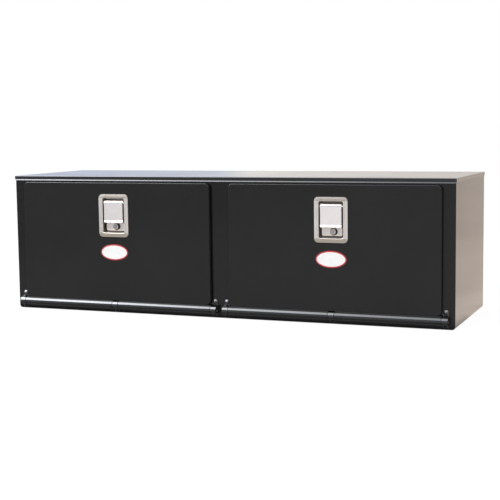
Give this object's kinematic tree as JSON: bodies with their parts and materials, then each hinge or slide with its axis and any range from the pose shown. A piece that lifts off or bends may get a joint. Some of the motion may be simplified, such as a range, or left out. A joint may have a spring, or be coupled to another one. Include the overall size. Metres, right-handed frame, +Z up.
{
  "type": "underbody truck tool box",
  "caption": "Long sheet-steel truck tool chest with drop-down doors on rod hinges, flush paddle latches and key locks.",
  "frame": {"origin": "centre of the whole outline on the resting face", "axes": "+X along the length to the right seen from the doors, +Y from the doors to the back, +Z up"},
  "size_m": [1.5278, 0.4828, 0.4572],
  "materials": {
    "powder_coat": "gloss black powder coat",
    "stainless": "satin",
    "zinc_plate": "bright zinc plate",
    "rubber": "matte",
    "plastic": "black nylon"
  },
  "bodies": {
    "chest": {"body_shell": "powder_coat", "back_panel": "powder_coat", "top_panel": "powder_coat", "front_frame": "powder_coat", "centre_post": "powder_coat", "strike_plate_left": "stainless", "hinge_rod_left": "stainless", "end_lugs_left": "powder_coat", "middle_lug_left": "powder_coat", "lug_bolts_left": "zinc_plate", "lug_nuts_left": "zinc_plate", "hinge_washers_left": "plastic", "strike_plate_right": "stainless", "hinge_rod_right": "stainless", "end_lugs_right": "powder_coat", "middle_lug_right": "powder_coat", "lug_bolts_right": "zinc_plate", "lug_nuts_right": "zinc_plate", "hinge_washers_right": "plastic"},
    "door_left": {"hinge_barrel_a_left": "powder_coat", "hinge_barrel_b_left": "powder_coat", "door_skin_left": "powder_coat", "door_inner_left": "powder_coat", "door_seal_left": "rubber", "latch_bezel_left": "stainless", "latch_gasket_left": "rubber", "latch_nuts_left": "zinc_plate", "latch_housing_left": "zinc_plate", "paddle_pin_left": "stainless", "lock_cylinder_left": "zinc_plate", "lock_ring_left": "rubber", "lock_nut_left": "zinc_plate", "paddle_spring_left": "stainless"},
    "paddle_left": {"paddle_left": "stainless"},
    "bolt_left": {"latch_bolt_left": "stainless"},
    "lock_left": {"lock_plug_left": "zinc_plate", "lock_cam_left": "zinc_plate", "lock_cam_screw_left": "zinc_plate"},
    "door_right": {"hinge_barrel_a_right": "powder_coat", "hinge_barrel_b_right": "powder_coat", "door_skin_right": "powder_coat", "door_inner_right": "powder_coat", "door_seal_right": "rubber", "latch_bezel_right": "stainless", "latch_gasket_right": "rubber", "latch_nuts_right": "zinc_plate", "latch_housing_right": "zinc_plate", "paddle_pin_right": "stainless", "lock_cylinder_right": "zinc_plate", "lock_ring_right": "rubber", "lock_nut_right": "zinc_plate", "paddle_spring_right": "stainless"},
    "paddle_right": {"paddle_right": "stainless"},
    "bolt_right": {"latch_bolt_right": "stainless"},
    "lock_right": {"lock_plug_right": "zinc_plate", "lock_cam_right": "zinc_plate", "lock_cam_screw_right": "zinc_plate"}
  },
  "joints": [
    {"name": "door_left_hinge", "type": "hinge", "parent": "chest", "child": "door_left", "pos_m": [-0.3775, -0.22875, 0.027], "axis": [1, 0, 0], "range_deg": [0, 90]},
    {"name": "paddle_left_pivot", "type": "hinge", "parent": "door_left", "child": "paddle_left", "pos_m": [-0.3775, -0.22375, 0.3682], "axis": [-1, 0, 0], "range_deg": [0, 35], "stiffness_Nm_per_rad": 0.5, "springref_deg": -11.46, "deforming": ["paddle_spring_left"]},
    {"name": "bolt_left_slide", "type": "slide", "parent": "door_left", "child": "bolt_left", "axis": [0, 0, -1], "range_m": [0, 0.0128]},
    {"name": "lock_left_turn", "type": "hinge", "parent": "door_left", "child": "lock_left", "pos_m": [-0.3715, -0.22975, 0.2901], "axis": [0, 1, 0], "range_deg": [-90, 0]},
    {"name": "door_right_hinge", "type": "hinge", "parent": "chest", "child": "door_right", "pos_m": [0.3775, -0.22875, 0.027], "axis": [1, 0, 0], "range_deg": [0, 90]},
    {"name": "paddle_right_pivot", "type": "hinge", "parent": "door_right", "child": "paddle_right", "pos_m": [0.3775, -0.22375, 0.3682], "axis": [-1, 0, 0], "range_deg": [0, 35], "stiffness_Nm_per_rad": 0.5, "springref_deg": -11.46, "deforming": ["paddle_spring_right"]},
    {"name": "bolt_right_slide", "type": "slide", "parent": "door_right", "child": "bolt_right", "axis": [0, 0, -1], "range_m": [0, 0.0128]},
    {"name": "lock_right_turn", "type": "hinge", "parent": "door_right", "child": "lock_right", "pos_m": [0.3835, -0.22975, 0.2901], "axis": [0, 1, 0], "range_deg": [-90, 0]}
  ],
  "couplings": [
    {"joint": "bolt_left_slide", "follows": "paddle_left_pivot", "m_per_rad": 0.020953},
    {"joint": "bolt_right_slide", "follows": "paddle_right_pivot", "m_per_rad": 0.020953}
  ]
}
